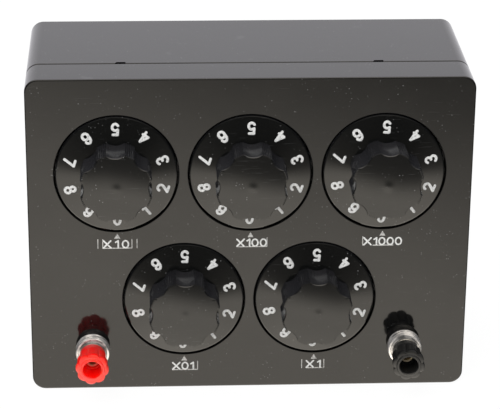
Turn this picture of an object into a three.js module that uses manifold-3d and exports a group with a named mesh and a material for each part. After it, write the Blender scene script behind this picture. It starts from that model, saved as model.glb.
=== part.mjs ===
// A decade resistance box: five ten-position dials in a two-part plastic case, with two terminals.
// X runs to the right, Y into the box from the front, Z up. The box stands on its long lower side.
import * as THREE from "three";
import { mergeVertices } from "three/addons/utils/BufferGeometryUtils.js";
import Module from "manifold-3d";

const wasm = await Module();
wasm.setup();

// Driving dimensions in millimetres, angles in degrees. Inside the model Y is 0 on the panel's face.

// Case shells
const caseWidth = 200;
const caseHeight = 152;
const caseDepth = 82;
const coverDepth = 20.5;
const seamGap = 0.4;
const wall = 3;
const panelThickness = 3;
const cornerRadius = 6;
const panelBevel = 0.6;
const backBevel = 0.6;
const lipThickness = 1.5;
const lipReach = 3;
const lipRoot = 3;
const notchOffset = 58;
const notchWidth = 5.2;
const notchReach = 2.2;
const notchDepth = 1.6;
const notchSlant = 1.2;

// Case screws and the pillars that they pass through
const pillarInset = 7.5;
const pillarRadius = 4;
const screwRadius = 1.9;
const screwHeadRadius = 3.2;
const screwHeadHeight = 2.6;
const screwHeadRecess = 4;
const screwEngagement = 5.4;
const screwSlotWidth = 1;
const screwSlotDepth = 1.3;

// Where the dials and terminals are: the pitch as a share of the width, and the space between openings
const dialPitchShare = 0.3;
const dialSpacing = 4;
const rowSpacing = 6;
const terminalInset = 28;
const terminalHeight = 20.4;

// Dials
const dialGap = 0.8;
const skirtSlope = 9;
const skirtBack = 4;
const skirtWall = 2.4;
const rimBevel = 0.4;
const gripRadius = 16.3;
const gripReach = 18.4;
const gripBevel = 0.5;
const gripWall = 2.5;
const gripFrontWall = 4;
const scallopCount = 8;
const scallopDepth = 1.8;
const scallopHalfAngle = 14.7;
const hubRadius = 5.6;
const hubBack = 4.9;

// Switches
const bossLength = 6.5;
const plateThickness = 2;
const plateMargin = 1;
const plateTerminalHole = 9.5;
const shaftRadius = 3;
const shaftFlat = 2.2;
const shaftBack = 27;
const bushRadius = 4.7;
const bushReach = 4.2;
const nutWidth = 12;
const nutThickness = 2.4;
const housingRadius = 15;
const housingDepth = 10;
const positions = 10;
const positionStep = 36;
const waferRadius = 15;
const waferThickness = 1.6;
const lugReach = 21.5;
const lugWidth = 2.4;
const lugThickness = 0.8;
const lugRoot = 1.5;
const firstLugAngle = 198;
const rotorHubRadius = 5.6;
const rotorHubMargin = 0.5;
const rotorArmReach = 13;
const rotorArmWidth = 3;
const rotorArmThickness = 0.8;
const resistorRadius = 1.2;
const resistorLength = 6.3;
const leadWidth = 0.7;
const chainRadius = 18.5;

// Terminals
const collarRadius = 7.8;
const collarLength = 5.5;
const collarBevel = 0.7;
const collarGrooveRadius = 6.9;
const collarGrooveDepth = 0.4;
const flangeRadius = 4.6;
const flangeThickness = 1.5;
const washerRadius = 6.4;
const washerThickness = 1.1;
const capReach = 22;
const capNeckRadius = 6;
const capNeckLength = 4.6;
const capLobes = 8;
const capLobeRadius = 7.35;
const capValleyRadius = 6.75;
const capBevel = 0.5;
const capMouthRadius = 4.1;
const capMouthDepth = 9.4;
const studRadius = 3;
const studTailRadius = 2.5;
const studTailReach = 10.5;
const socketRadius = 2;
const socketDepth = 12;
const socketBevel = 0.3;
const tagRadius = 5.2;
const tagThickness = 0.8;
const tagTongue = 8;
const tagWidth = 3;
const terminalNutWidth = 8;
const terminalNutThickness = 3.6;

// Wires inside
const wireRadius = 0.7;
const wireArch = 15;
const leadArch = 22;
const wireSeat = 20.7;

// Clearances and the overrun of every cut
const fitGap = 0.3;
const overrun = 1;

// Facets
const largeSides = 36;
const mediumSides = 24;
const studSides = 16;
const hiddenSides = 12;
const flattedSteps = 10;
const smallSides = 8;
const wireSides = 6;
const wireSteps = 10;
const resistorSides = 5;
const cornerSteps = 2;
const scallopSteps = 4;
const landSteps = 2;
const lobePoints = 4;

// Places worked out from the sizes above
const plateFront = panelThickness + bossLength + fitGap;
const plateBack = plateFront + plateThickness;
const pillarFront = plateBack + fitGap;
const caseFront = coverDepth + seamGap;
const dialPitch = caseWidth * dialPitchShare;
const dialHoleRadius = (dialPitch - dialSpacing) / 2;
const dialRadius = dialHoleRadius - dialGap;
const rowPitch = 2 * dialHoleRadius + rowSpacing;
const topRowHeight = (caseHeight + rowPitch) / 2;
const bottomRowHeight = (caseHeight - rowPitch) / 2;
const terminalOffset = caseWidth / 2 - terminalInset;
const gripBase = -Math.tan(THREE.MathUtils.degToRad(skirtSlope)) * (dialRadius - gripRadius);
const shaftFront = -gripReach + gripFrontWall + fitGap;
const housingFront = plateBack + fitGap;
const housingBack = housingFront + housingDepth;
const waferFront = housingBack + fitGap;
const waferBack = waferFront + waferThickness;
const boreRadius = shaftRadius + fitGap;
const topRow = [-dialPitch, 0, dialPitch];
const bottomRow = [-dialPitch / 2, dialPitch / 2];

const decades = [
  { name: "x10", x: topRow[0], z: topRowHeight },
  { name: "x100", x: topRow[1], z: topRowHeight },
  { name: "x1000", x: topRow[2], z: topRowHeight },
  { name: "x01", x: bottomRow[0], z: bottomRowHeight },
  { name: "x1", x: bottomRow[1], z: bottomRowHeight },
];
const terminals = [
  { name: "red", x: -terminalOffset, z: terminalHeight, color: 0xd8231b },
  { name: "black", x: terminalOffset, z: terminalHeight, color: 0x0d0d0e },
];

const materials = {
  casePlastic: { color: 0x0c0c0d, roughness: 0.18, metalness: 0 },
  dialPlastic: { color: 0x0a0a0b, roughness: 0.22, metalness: 0 },
  nickel: { color: 0xc4c3bd, roughness: 0.2, metalness: 1 },
  brass: { color: 0xb8964e, roughness: 0.3, metalness: 1 },
  steel: { color: 0x9a9a98, roughness: 0.35, metalness: 1 },
  aluminium: { color: 0xb9bcbf, roughness: 0.45, metalness: 1 },
  switchPlastic: { color: 0x3a3530, roughness: 0.6, metalness: 0 },
  phenolic: { color: 0x7a4a22, roughness: 0.6, metalness: 0 },
  resistorBody: { color: 0x9c7a4c, roughness: 0.5, metalness: 0 },
  wireSleeve: { color: 0x2a4a8a, roughness: 0.5, metalness: 0 },
};

const group = new THREE.Group();

// Geometry helpers

// A closed three.js geometry as a solid that can be joined and cut.
function solid(geometry) {
  const bare = geometry.index ? geometry.toNonIndexed() : geometry.clone();
  bare.deleteAttribute("normal");
  bare.deleteAttribute("uv");
  const merged = mergeVertices(bare);
  return new wasm.Manifold(
    new wasm.Mesh({
      numProp: 3,
      vertProperties: merged.attributes.position.array,
      triVerts: new Uint32Array(merged.index.array),
    }),
  );
}

function addPiece(name, body, look) {
  const mesh = body.getMesh();
  const geometry = new THREE.BufferGeometry();
  geometry.setAttribute("position", new THREE.BufferAttribute(mesh.vertProperties, 3));
  geometry.setIndex(new THREE.BufferAttribute(mesh.triVerts, 1));
  geometry.computeVertexNormals();
  const piece = new THREE.Mesh(geometry, new THREE.MeshStandardMaterial({ ...look, flatShading: true }));
  piece.name = name;
  group.add(piece);
}

// A round rod along Y.
function rod(radius, y0, y1, sides, x = 0, z = 0) {
  const geometry = new THREE.CylinderGeometry(radius, radius, y1 - y0, sides);
  return solid(geometry.translate(x, (y0 + y1) / 2, z));
}

// A turned body around the Y axis. The profile is a list of [radius, y], with y rising on the outside.
function turned(profile, sides) {
  const points = profile.map(([radius, y]) => new THREE.Vector2(radius, y));
  return solid(new THREE.LatheGeometry(points, sides));
}

// A turned ring, whose section closes on itself.
function turnedRing(section, sides) {
  return turned([...section, section[0]], sides);
}

function box(x0, x1, y0, y1, z0, z1) {
  const geometry = new THREE.BoxGeometry(x1 - x0, y1 - y0, z1 - z0);
  return solid(geometry.translate((x0 + x1) / 2, (y0 + y1) / 2, (z0 + z1) / 2));
}

// A shape drawn in X and Z, extruded along Y, with a bevel on both ends where one is given.
function prism(shape, y0, y1, bevel = 0) {
  const geometry = new THREE.ExtrudeGeometry(shape, {
    depth: y1 - y0 - 2 * bevel,
    bevelEnabled: bevel > 0,
    bevelThickness: bevel,
    bevelSize: bevel,
    bevelOffset: -bevel,
    bevelSegments: 1,
    curveSegments: cornerSteps,
  });
  return solid(geometry.rotateX(Math.PI / 2).translate(0, y1 - bevel, 0));
}

// The case's outline, drawn inwards from its outside by an inset.
function caseOutline(inset) {
  const left = -caseWidth / 2 + inset;
  const right = caseWidth / 2 - inset;
  const top = caseHeight - inset;
  const radius = Math.max(cornerRadius - inset, fitGap);
  const shape = new THREE.Shape();
  shape.absarc(right - radius, inset + radius, radius, -Math.PI / 2, 0, false);
  shape.absarc(right - radius, top - radius, radius, 0, Math.PI / 2, false);
  shape.absarc(left + radius, top - radius, radius, Math.PI / 2, Math.PI, false);
  shape.absarc(left + radius, inset + radius, radius, Math.PI, 1.5 * Math.PI, false);
  return shape;
}

function arc(x, z, radius, start, end, clockwise) {
  return new THREE.EllipseCurve(x, z, radius, radius, start, end, clockwise);
}

function caseRing(outerInset, innerInset, y0, y1) {
  return prism(caseOutline(outerInset), y0, y1).subtract(
    prism(caseOutline(innerInset), y0 - overrun, y1 + overrun),
  );
}

// The four corner places of the pillars and screws.
function cornerPlaces() {
  const x = caseWidth / 2 - pillarInset;
  const low = pillarInset;
  const high = caseHeight - pillarInset;
  return [
    { x: -x, z: low },
    { x: x, z: low },
    { x: -x, z: high },
    { x: x, z: high },
  ];
}

// Clockwise angle from the top, seen from the front, as a direction in X and Z.
function clockwise(angle) {
  const turn = THREE.MathUtils.degToRad(angle);
  return { x: Math.sin(turn), z: Math.cos(turn) };
}

function joined(bodies) {
  return bodies.reduce((whole, body) => whole.add(body));
}

function moved(body, place) {
  return body.translate([place.x, 0, place.z]);
}

// A round wire along a curve with square ends.
function wire(curve) {
  const section = new THREE.Shape();
  for (let i = 0; i < wireSides; i++) {
    const turn = (2 * Math.PI * i) / wireSides;
    section[i ? "lineTo" : "moveTo"](wireRadius * Math.cos(turn), wireRadius * Math.sin(turn));
  }
  return solid(new THREE.ExtrudeGeometry(section, { steps: wireSteps, extrudePath: curve }));
}

function hexagon(widthAcrossFlats, y0, y1) {
  return rod(widthAcrossFlats / Math.sqrt(3), y0, y1, 6);
}

// Case

function frontCover() {
  const shell = prism(caseOutline(0), 0, coverDepth + 2 * panelBevel, panelBevel)
    .subtract(
      box(-caseWidth, caseWidth, coverDepth, coverDepth + caseDepth, -caseHeight, 2 * caseHeight),
    )
    .subtract(prism(caseOutline(wall), panelThickness, coverDepth + overrun));
  const bosses = cornerPlaces().map(({ x, z }) =>
    rod(pillarRadius, panelThickness - fitGap, panelThickness + bossLength, hiddenSides, x, z),
  );
  const threads = cornerPlaces().map(({ x, z }) =>
    rod(screwRadius + fitGap, panelThickness, coverDepth, smallSides, x, z),
  );
  const dialHoles = decades.map(({ x, z }) =>
    rod(dialHoleRadius, -overrun, panelThickness + overrun, largeSides, x, z),
  );
  const studHoles = terminals.map(({ x, z }) =>
    rod(studTailRadius + fitGap, -overrun, panelThickness + overrun, hiddenSides, x, z),
  );
  return shell.add(joined(bosses)).subtract(joined([...threads, ...dialHoles, ...studHoles]));
}

// A notch for a blade in the case's front edge, with one slanted side.
function pryNotch(x, side) {
  const middle = side > 0 ? caseHeight : 0;
  const shape = new THREE.Shape();
  shape.moveTo(-notchWidth / 2, -overrun);
  shape.lineTo(notchWidth / 2, -overrun);
  shape.lineTo(notchWidth / 2, notchReach);
  shape.lineTo(-notchWidth / 2 + notchSlant, notchReach);
  const cut = new THREE.ExtrudeGeometry(shape, { depth: 2 * notchDepth, bevelEnabled: false });
  return solid(cut.translate(x, caseFront, middle - notchDepth));
}

function rearCase() {
  const shell = prism(caseOutline(0), caseFront - 2 * backBevel, caseDepth, backBevel)
    .subtract(box(-caseWidth, caseWidth, -caseDepth, caseFront, -caseHeight, 2 * caseHeight))
    .subtract(prism(caseOutline(wall), 0, caseDepth - wall));
  const lip = caseRing(wall + fitGap, wall + fitGap + lipThickness, caseFront - lipReach, caseFront + lipRoot);
  const root = caseRing(wall / 2, wall + fitGap + lipThickness, caseFront, caseFront + lipRoot);
  const pillars = cornerPlaces().map(({ x, z }) => {
    const outwardX = Math.sign(x) * (pillarInset - wall / 2);
    const outwardZ = Math.sign(z - caseHeight / 2) * (pillarInset - wall / 2);
    const web = box(
      Math.min(x, x + outwardX),
      Math.max(x, x + outwardX),
      caseFront,
      caseDepth - wall / 2,
      Math.min(z, z + outwardZ),
      Math.max(z, z + outwardZ),
    );
    return rod(pillarRadius, pillarFront, caseDepth - wall / 2, hiddenSides, x, z).add(web);
  });
  const screwHoles = cornerPlaces().map(({ x, z }) =>
    rod(screwRadius + fitGap, 0, caseDepth + overrun, smallSides, x, z).add(
      rod(
        screwHeadRadius + fitGap,
        caseDepth - screwHeadRecess,
        caseDepth + overrun,
        hiddenSides,
        x,
        z,
      ),
    ),
  );
  const notches = [-1, 1].flatMap((side) => [
    pryNotch(-notchOffset, side),
    pryNotch(notchOffset, side),
  ]);
  return shell
    .add(joined([lip, root, ...pillars]))
    .subtract(joined([...screwHoles, ...notches]));
}

function caseScrew() {
  const seat = caseDepth - screwHeadRecess + fitGap;
  const top = seat + screwHeadHeight;
  const tip = panelThickness + bossLength - screwEngagement;
  return rod(screwRadius, tip, seat + screwHeadHeight / 2, smallSides)
    .add(rod(screwHeadRadius, seat, top, hiddenSides))
    .subtract(
      box(
        -screwHeadRadius - overrun,
        screwHeadRadius + overrun,
        top - screwSlotDepth,
        top + overrun,
        -screwSlotWidth / 2,
        screwSlotWidth / 2,
      ),
    );
}

function switchPlate() {
  const sheet = prism(caseOutline(wall + plateMargin), plateFront, plateBack);
  const cuts = [
    ...cornerPlaces().map(({ x, z }) =>
      rod(screwRadius + fitGap, 0, caseDepth, smallSides, x, z),
    ),
    ...decades.map(({ x, z }) => rod(bushRadius + fitGap, 0, caseDepth, hiddenSides, x, z)),
    ...terminals.map(({ x, z }) => rod(plateTerminalHole, 0, caseDepth, hiddenSides, x, z)),
  ];
  return sheet.subtract(joined(cuts));
}

// Dials

// The grip's outline: lands on one circle, with a concave finger scallop between each two.
function gripOutline() {
  const half = THREE.MathUtils.degToRad(scallopHalfAngle);
  const step = (2 * Math.PI) / scallopCount;
  const chordHalf = gripRadius * Math.sin(half);
  const sagitta = scallopDepth - gripRadius * (1 - Math.cos(half));
  const scallopRadius = (chordHalf ** 2 + sagitta ** 2) / (2 * sagitta);
  const scallopCentre = gripRadius - scallopDepth + scallopRadius;
  const sweep = Math.asin(chordHalf / scallopRadius);
  const points = [];
  for (let i = 0; i < scallopCount; i++) {
    const middle = Math.PI / 2 + i * step;
    const x = scallopCentre * Math.cos(middle);
    const z = scallopCentre * Math.sin(middle);
    const inward = middle + Math.PI;
    const scallop = arc(x, z, scallopRadius, inward + sweep, inward - sweep, true);
    const land = arc(0, 0, gripRadius, middle + half, middle + step - half, false);
    points.push(...scallop.getPoints(scallopSteps).slice(1));
    points.push(...land.getPoints(landSteps).slice(1));
  }
  return new THREE.Shape(points);
}

// A round section with one flat on its lower side.
function flattedRound(radius, flat) {
  const half = Math.acos(flat / radius);
  const round = arc(0, 0, radius, -Math.PI / 2 + half, 1.5 * Math.PI - half, false);
  return new THREE.Shape(round.getPoints(flattedSteps));
}

function dial() {
  const coneFront = -Math.tan(THREE.MathUtils.degToRad(skirtSlope)) * dialRadius;
  const slope = -coneFront / dialRadius;
  const cavityRadius = gripRadius - scallopDepth - gripWall;
  const cavityFront = -gripReach + gripFrontWall;
  const underRadius = dialRadius - skirtWall;
  const skirt = turned(
    [
      [0, coneFront],
      [dialRadius - rimBevel, -slope * rimBevel],
      [dialRadius, rimBevel],
      [dialRadius, skirtBack],
      [0, skirtBack],
    ],
    largeSides,
  );
  const grip = prism(gripOutline(), -gripReach, skirtBack / 2, gripBevel);
  const hollow = turnedRing(
    [
      [hubRadius, cavityFront],
      [cavityRadius, cavityFront],
      [cavityRadius, slope * (cavityRadius - dialRadius) + skirtWall],
      [underRadius, slope * (underRadius - dialRadius) + skirtWall],
      [underRadius, skirtBack + overrun],
      [hubRadius, skirtBack + overrun],
    ],
    hiddenSides,
  );
  const hub = rod(hubRadius, cavityFront - fitGap, hubBack, hiddenSides);
  const bore = prism(
    flattedRound(boreRadius, shaftFlat + fitGap),
    shaftFront - fitGap,
    hubBack + overrun,
  );
  return skirt.add(grip).subtract(hollow).add(hub).subtract(bore);
}

// Switches

function switchShaft() {
  const flatBack = hubBack + fitGap;
  return prism(flattedRound(shaftRadius, shaftFlat), shaftFront, flatBack + fitGap).add(
    rod(shaftRadius, flatBack, shaftBack, hiddenSides),
  );
}

function switchHousing() {
  const bushFront = plateFront - bushReach;
  return turnedRing(
    [
      [boreRadius, bushFront],
      [bushRadius, bushFront],
      [bushRadius, housingFront],
      [housingRadius, housingFront],
      [housingRadius, housingBack],
      [boreRadius, housingBack],
    ],
    hiddenSides,
  );
}

function switchNut() {
  const back = plateFront - fitGap;
  const front = back - nutThickness;
  return hexagon(nutWidth, front, back).subtract(
    rod(bushRadius + fitGap, front - overrun, back + overrun, hiddenSides),
  );
}

// A flat bar in the wafer's plane that points clockwise by an angle from the top.
function radialBar(angle, inner, outer, width, y0, y1) {
  return box(-width / 2, width / 2, y0, y1, inner, outer).rotate([0, angle, 0]);
}

function contactWafer() {
  const holeRadius = rotorHubRadius + rotorHubMargin;
  const disc = turnedRing(
    [
      [holeRadius, waferFront],
      [waferRadius, waferFront],
      [waferRadius, waferBack],
      [holeRadius, waferBack],
    ],
    hiddenSides,
  );
  const commonAngle = firstLugAngle - positionStep / 2;
  const angles = [commonAngle];
  for (let i = 0; i < positions; i++) angles.push(firstLugAngle + i * positionStep);
  const middle = (waferFront + waferBack) / 2;
  const lugs = angles.map((angle) =>
    radialBar(
      angle,
      waferRadius - lugRoot,
      lugReach,
      lugWidth,
      middle - lugThickness / 2,
      middle + lugThickness / 2,
    ),
  );
  return joined([disc, ...lugs]);
}

function rotorContact() {
  const armFront = waferBack + fitGap;
  const armBack = armFront + rotorArmThickness;
  const hub = turnedRing(
    [
      [boreRadius, waferFront],
      [rotorHubRadius, waferFront],
      [rotorHubRadius, armBack + fitGap],
      [boreRadius, armBack + fitGap],
    ],
    hiddenSides,
  );
  const arm = radialBar(
    firstLugAngle,
    (boreRadius + rotorHubRadius) / 2,
    rotorArmReach,
    rotorArmWidth,
    armFront,
    armBack,
  );
  return hub.add(arm);
}

const chainDepth = (waferFront + waferBack + lugThickness) / 2 + fitGap + leadWidth / 2;

// Nine resistors in series, soldered from lug to lug, on a lead that is bent at each lug.
function resistorChain() {
  const middleRadius = chainRadius * Math.cos(THREE.MathUtils.degToRad(positionStep / 2));
  const outer = [];
  const inner = [];
  for (let i = 0; i < positions; i++) {
    const way = clockwise(firstLugAngle + i * positionStep);
    const corner = new THREE.Vector2(way.x, way.z);
    outer.push(corner.clone().multiplyScalar(chainRadius + leadWidth / 2));
    inner.unshift(corner.clone().multiplyScalar(chainRadius - leadWidth / 2));
  }
  const lead = prism(
    new THREE.Shape([...outer, ...inner]),
    chainDepth - leadWidth / 2,
    chainDepth + leadWidth / 2,
  );
  const bodies = [];
  for (let i = 0; i < positions - 1; i++) {
    const body = rod(resistorRadius, -resistorLength / 2, resistorLength / 2, resistorSides)
      .rotate([0, 0, 90])
      .translate([0, chainDepth, middleRadius])
      .rotate([0, firstLugAngle + (i + 1 / 2) * positionStep, 0]);
    bodies.push(body);
  }
  return joined([lead, ...bodies]);
}

// Terminals

function terminalCollar() {
  const front = -collarLength;
  return turnedRing(
    [
      [studRadius + fitGap, front + flangeThickness + fitGap],
      [flangeRadius + fitGap, front + flangeThickness + fitGap],
      [flangeRadius + fitGap, front],
      [washerRadius, front],
      [(washerRadius + collarGrooveRadius) / 2, front + collarGrooveDepth],
      [collarGrooveRadius, front],
      [collarRadius - collarBevel, front],
      [collarRadius, front + collarBevel],
      [collarRadius, 0],
      [studRadius + fitGap, 0],
    ],
    mediumSides,
  );
}

function terminalStud() {
  const front = -capReach + capMouthDepth;
  const flangeFront = -collarLength + fitGap / 2;
  return turned(
    [
      [0, front + socketDepth],
      [socketRadius, front + socketDepth],
      [socketRadius, front + socketBevel],
      [socketRadius + socketBevel, front],
      [studRadius - socketBevel, front],
      [studRadius, front + socketBevel],
      [studRadius, flangeFront],
      [flangeRadius, flangeFront],
      [flangeRadius, flangeFront + flangeThickness],
      [studRadius, flangeFront + flangeThickness],
      [studRadius, -fitGap],
      [studTailRadius, -fitGap],
      [studTailRadius, studTailReach],
      [0, studTailReach],
    ],
    studSides,
  );
}

const washerBack = -collarLength - fitGap;
const washerFront = washerBack - washerThickness;

function pressureWasher() {
  return turnedRing(
    [
      [studRadius + fitGap, washerFront],
      [washerRadius, washerFront],
      [washerRadius, washerBack],
      [studRadius + fitGap, washerBack],
    ],
    hiddenSides,
  );
}

function capOutline() {
  const middle = (capLobeRadius + capValleyRadius) / 2;
  const swing = (capLobeRadius - capValleyRadius) / 2;
  const points = [];
  for (let i = 0; i < capLobes * lobePoints; i++) {
    const turn = (2 * Math.PI * i) / (capLobes * lobePoints);
    const radius = middle + swing * Math.cos(capLobes * turn);
    points.push(new THREE.Vector2(radius * Math.sin(turn), radius * Math.cos(turn)));
  }
  return new THREE.Shape(points);
}

function terminalCap() {
  const back = washerFront - fitGap;
  const shoulder = back - capNeckLength;
  const mouthBack = -capReach + capMouthDepth;
  return prism(capOutline(), -capReach, shoulder, capBevel)
    .add(rod(capNeckRadius, shoulder - capBevel - fitGap, back, mediumSides))
    .subtract(rod(capMouthRadius, -capReach - overrun, mouthBack, mediumSides))
    .subtract(rod(studRadius + fitGap, -capReach - overrun, overrun, hiddenSides));
}

const tagFront = panelThickness + fitGap;
const tagBack = tagFront + tagThickness;

function terminalNut() {
  const front = tagBack + fitGap;
  const back = front + terminalNutThickness;
  return hexagon(terminalNutWidth, front, back).subtract(
    rod(studTailRadius + fitGap, front - overrun, back + overrun, hiddenSides),
  );
}

// Wires

// The place on a decade's wafer where a wire meets a lug.
function wireEnd(decade, angle) {
  const way = clockwise(angle);
  const lugBack = (waferFront + waferBack + lugThickness) / 2;
  return new THREE.Vector3(
    decade.x + way.x * wireSeat,
    lugBack + fitGap,
    decade.z + way.z * wireSeat,
  );
}

function archBetween(start, end, startArch, endArch) {
  return new THREE.CubicBezierCurve3(
    start,
    start.clone().add(new THREE.Vector3(0, startArch, 0)),
    end.clone().add(new THREE.Vector3(0, endArch, 0)),
    end,
  );
}

// A terminal's lead: the ring tag on the stud, its tongue towards the middle, and the soldered wire.
function terminalLead(terminal, end) {
  const inward = -Math.sign(terminal.x);
  const ring = turnedRing(
    [
      [studTailRadius + fitGap, tagFront],
      [tagRadius, tagFront],
      [tagRadius, tagBack],
      [studTailRadius + fitGap, tagBack],
    ],
    hiddenSides,
  );
  const root = inward * (studTailRadius + tagRadius) / 2;
  const tip = inward * tagTongue;
  const tongue = box(
    Math.min(root, tip),
    Math.max(root, tip),
    tagFront,
    tagBack,
    -tagWidth / 2,
    tagWidth / 2,
  );
  const start = new THREE.Vector3(
    terminal.x + tip - inward * tagWidth / 2,
    (tagFront + tagBack) / 2,
    terminal.z,
  );
  return moved(ring.add(tongue), terminal).add(wire(archBetween(start, end, leadArch, wireArch)));
}

// Assembly

function decadeNamed(name) {
  return decades.find((decade) => decade.name === name);
}

function addCase() {
  addPiece("front_cover", frontCover(), materials.casePlastic);
  addPiece("rear_case", rearCase(), materials.casePlastic);
  cornerPlaces().forEach((place, i) =>
    addPiece(`case_screw_${i + 1}`, moved(caseScrew(), place), materials.steel),
  );
  addPiece("switch_plate", switchPlate(), materials.aluminium);
}

function addDecade(decade) {
  const pieces = {
    dial: [dial(), materials.dialPlastic],
    switch_shaft: [switchShaft(), materials.aluminium],
    switch_housing: [switchHousing(), materials.switchPlastic],
    switch_nut: [switchNut(), materials.nickel],
    contact_wafer: [contactWafer(), materials.phenolic],
    rotor_contact: [rotorContact(), materials.brass],
    resistor_chain: [resistorChain(), materials.resistorBody],
  };
  for (const [kind, [body, look]] of Object.entries(pieces))
    addPiece(`${kind}_${decade.name}`, moved(body, decade), look);
}

function addTerminal(terminal, leadEnd) {
  const capLook = { color: terminal.color, roughness: 0.35, metalness: 0 };
  const pieces = {
    terminal_cap: [terminalCap(), capLook],
    pressure_washer: [pressureWasher(), materials.nickel],
    terminal_collar: [terminalCollar(), materials.nickel],
    terminal_stud: [terminalStud(), materials.brass],
    terminal_nut: [terminalNut(), materials.nickel],
  };
  for (const [kind, [body, look]] of Object.entries(pieces))
    addPiece(`${kind}_${terminal.name}`, moved(body, terminal), look);
  addPiece(`terminal_lead_${terminal.name}`, terminalLead(terminal, leadEnd), materials.wireSleeve);
}

// The decades are in series, each one's common lug wired to the next one's first lug.
function addWires() {
  const commonAngle = firstLugAngle - positionStep / 2;
  const order = ["x01", "x10", "x100", "x1000", "x1"].map(decadeNamed);
  for (let i = 0; i + 1 < order.length; i++) {
    const start = wireEnd(order[i], commonAngle);
    const end = wireEnd(order[i + 1], firstLugAngle);
    addPiece(
      `link_wire_${i + 1}`,
      wire(archBetween(start, end, wireArch, wireArch)),
      materials.wireSleeve,
    );
  }
  addTerminal(terminals[0], wireEnd(order[0], firstLugAngle));
  addTerminal(terminals[1], wireEnd(order[order.length - 1], commonAngle));
}

addCase();
decades.forEach(addDecade);
addWires();

// The origin is at the middle of the whole object's footprint, on the surface that it stands on.
group.position.y = (capReach - caseDepth) / 2;

export default group;
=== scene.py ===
# The looks of a decade resistance box: glossy black case, five numbered dials, two binding posts.
# Lengths are in metres and angles in degrees. Y runs into the box from its panel, and Z is up.
import math

import bmesh
import bpy
from mathutils import Matrix, Vector


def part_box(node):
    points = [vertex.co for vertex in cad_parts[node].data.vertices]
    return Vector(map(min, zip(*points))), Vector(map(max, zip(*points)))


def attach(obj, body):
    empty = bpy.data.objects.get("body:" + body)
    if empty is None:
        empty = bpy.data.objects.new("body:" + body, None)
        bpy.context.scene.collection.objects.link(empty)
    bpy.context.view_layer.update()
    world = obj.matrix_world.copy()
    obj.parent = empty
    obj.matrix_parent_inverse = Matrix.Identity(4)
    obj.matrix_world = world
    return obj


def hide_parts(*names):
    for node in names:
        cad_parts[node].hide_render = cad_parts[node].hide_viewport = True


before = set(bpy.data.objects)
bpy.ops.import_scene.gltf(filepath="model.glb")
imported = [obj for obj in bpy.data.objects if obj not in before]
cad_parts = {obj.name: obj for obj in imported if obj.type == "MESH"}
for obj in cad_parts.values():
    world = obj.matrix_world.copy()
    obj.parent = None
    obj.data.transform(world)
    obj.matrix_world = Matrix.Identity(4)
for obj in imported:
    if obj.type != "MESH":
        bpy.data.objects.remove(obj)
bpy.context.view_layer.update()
bpy.ops.object.select_all(action="DESELECT")

mm = 0.001

# Places and sizes taken from the frame
cover_low, cover_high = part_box("front_cover")
case_low, case_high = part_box("rear_case")
panel_y = cover_low.y
case_width = cover_high.x - cover_low.x
case_height = cover_high.z - cover_low.z
decades = ["x10", "x100", "x1000", "x01", "x1"]
terminals = ["red", "black"]


def middle(node):
    """The X and Z of a node's axis."""
    low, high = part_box(node)
    return (low.x + high.x) / 2, (low.z + high.z) / 2


def half_width(node):
    low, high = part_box(node)
    return (high.x - low.x) / 2


# Camera, fitted to the photograph
camera_azimuth = -3.0607
camera_elevation = 22.8441
camera_roll = 0.5664
camera_distance = 1005.64 * mm
camera_target = Vector((-0.1 * mm, panel_y, 91.70 * mm))
camera_lens = 160.75
camera_film = 36

# Lamp and floor
lamp_place = (-0.5, -1.0, 1.4)
lamp_target = (0, 0, 0.07)
lamp_width = 1.2
lamp_depth = 1.0
lamp_energy = 18
floor_size = 8

# Case
case_corner = 6 * mm
wall = 3 * mm
panel_edge = 0.7 * mm
back_edge = 0.4 * mm
seam_gap = 0.9 * mm
seam_edge = 0.3 * mm
rear_seam_edge = 0.5 * mm
lip_gap = 0.3 * mm
lip_thickness = 1.5 * mm
lip_reach = 3 * mm
lip_foot = 0.8 * mm
pillar_inset = 7.5 * mm
pillar_radius = 4 * mm
boss_reach = 6.5 * mm
screw_hole = 2.2 * mm
shank_radius = 1.9 * mm
head_radius = 3.2 * mm
head_hole = 3.5 * mm
head_recess = 4 * mm
head_height = 2.6 * mm
slot_width = 1 * mm
slot_depth = 1.3 * mm
first_slot_turn = 65
slot_turn_step = 40
notch_offset = 58 * mm
notch_width = 5.2 * mm
notch_reach = 1.5 * mm
notch_depth = 0.8 * mm
notch_slant = 1.2 * mm
hole_chamfer = 0.25 * mm
stud_hole = 2.8 * mm

# A screw head's outline: shares of its radius, and depths under its top
head_dome = ((1, 1.2 * mm), (0.86, 0.45 * mm), (0.6, 0.1 * mm), (0.2, 0))

# Dials
dial_gap = 0.8 * mm
dial_radius = half_width("dial_x10")
skirt_slope = 9
skirt_back = 4 * mm
skirt_edge = 0.35 * mm
skirt_thickness = 2.4 * mm
grip_radius = 16.3 * mm
grip_reach = 18.4 * mm
grip_crown = 0.65 * mm
grip_edge = 0.38 * mm
edge_round_shares = ((0, 1), (0.15, 0.45), (0.5, 0.12))
crown_shares = (0.93, 0.85, 0.75, 0.65, 0.55, 0.45, 0.36, 0.28, 0.21, 0.15, 0.1, 0.05, 0.02)
scallop_count = 8
scallop_depth = 1.8 * mm
scallop_half_angle = 14.7
scallop_points = 18
rib_count = 5
rib_depth = 0.5 * mm
rib_points = 8
rib_sharpness = 3
gate_mark_radius = 3 * mm
gate_mark_height = 0.06 * mm
grip_wall = 2.5 * mm
grip_front_wall = 4 * mm
dial_cavity = grip_radius - scallop_depth - grip_wall
dial_cavity_depth = grip_reach - grip_front_wall
hub_radius = 5.6 * mm
hub_bore = 3.3 * mm
dial_turns = {"x10": -0.4, "x100": 0.8, "x1000": 1.7, "x01": 1.4, "x1": 1.7}
numeral_radius = 21.75 * mm
numeral_height = 6.15 * mm
numeral_stroke = 1.29 * mm
numeral_thickness = 0.24 * mm
numeral_count = 10
numeral_at_top = 5

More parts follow.
